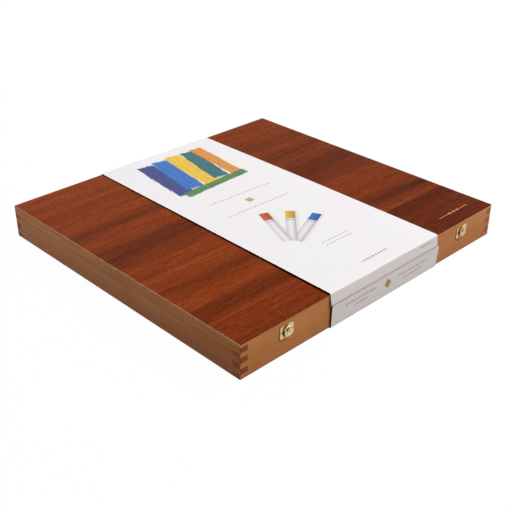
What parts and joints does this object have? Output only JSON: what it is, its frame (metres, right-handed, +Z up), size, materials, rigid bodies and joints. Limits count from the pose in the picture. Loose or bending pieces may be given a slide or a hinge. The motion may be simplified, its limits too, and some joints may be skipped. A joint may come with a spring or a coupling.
{
  "type": "hinged wooden case for artist's colour sticks",
  "caption": "Shallow wooden case with finger-jointed corners, hinged veneered lid, brass catches, foam beds of colour sticks and a card band folded round the middle.",
  "frame": {"origin": "on the table, under the middle of the case", "axes": "+X along the front to the right, +Y from the front with the catches to the hinges at the back, +Z up"},
  "size_m": [0.45, 0.4346, 0.0464],
  "materials": {
    "veneer": "satin lacquer over reddish ribbon-striped veneer",
    "case_wood": "satin lacquer over golden brown stained hardwood",
    "plywood": "sanded plywood",
    "brass": "polished stamped brass",
    "steel": "drawn wire",
    "card": "smooth white printed card",
    "foam": "dark fine-celled foam",
    "pigment": "waxy pigment in many colours",
    "wrapper_paper": "matt paper label with plain bands"
  },
  "bodies": {
    "base": {"base_front_board": "case_wood", "base_back_board": "case_wood", "base_left_board": "case_wood", "base_right_board": "case_wood", "base_bottom_panel": "plywood", "catch_nails_base": "brass", "hinge_screws_base": "brass", "hinge_left_base_leaf": "brass", "hinge_right_base_leaf": "brass", "hinge_left_pin": "steel", "hinge_right_pin": "steel", "catch_left_anchor_plate": "brass", "catch_left_pin": "brass", "catch_right_anchor_plate": "brass", "catch_right_pin": "brass", "card_band_base_half": "card", "foam_bed_front": "foam", "wrappers_front_row": "wrapper_paper", "foam_bed_middle": "foam", "wrappers_middle_row": "wrapper_paper", "foam_bed_back": "foam", "wrappers_back_row": "wrapper_paper", "foam_strip_behind_front": "foam", "foam_strip_behind_middle": "foam", "sticks_column_01": "pigment", "sticks_column_02": "pigment", "sticks_column_03": "pigment", "sticks_column_04": "pigment", "sticks_column_05": "pigment", "sticks_column_06": "pigment", "sticks_column_07": "pigment", "sticks_column_08": "pigment", "sticks_column_09": "pigment", "sticks_column_10": "pigment", "sticks_column_11": "pigment", "sticks_column_12": "pigment"},
    "lid": {"lid_front_board": "case_wood", "lid_back_board": "case_wood", "lid_left_board": "case_wood", "lid_right_board": "case_wood", "lid_panel_core": "plywood", "lid_veneer_front_leaf": "veneer", "lid_veneer_rear_leaf": "veneer", "lid_foam_pad": "foam", "catch_nails_lid": "brass", "hinge_screws_lid": "brass", "hinge_left_lid_leaf": "brass", "hinge_right_lid_leaf": "brass", "catch_left_keeper_plate": "brass", "catch_right_keeper_plate": "brass", "card_band_lid_half": "card"},
    "left_lever": {"catch_left_lever": "brass"},
    "right_lever": {"catch_right_lever": "brass"}
  },
  "joints": [
    {"name": "lid_hinge", "type": "hinge", "parent": "base", "child": "lid", "pos_m": [0, 0.2155, 0.0313], "axis": [-1, 0, 0], "range_deg": [0, 105]},
    {"name": "left_catch", "type": "hinge", "parent": "base", "child": "left_lever", "pos_m": [-0.158, -0.2148, 0.02532], "axis": [1, 0, 0], "range_deg": [0, 165]},
    {"name": "right_catch", "type": "hinge", "parent": "base", "child": "right_lever", "pos_m": [0.158, -0.2148, 0.02532], "axis": [1, 0, 0], "range_deg": [0, 165]}
  ]
}
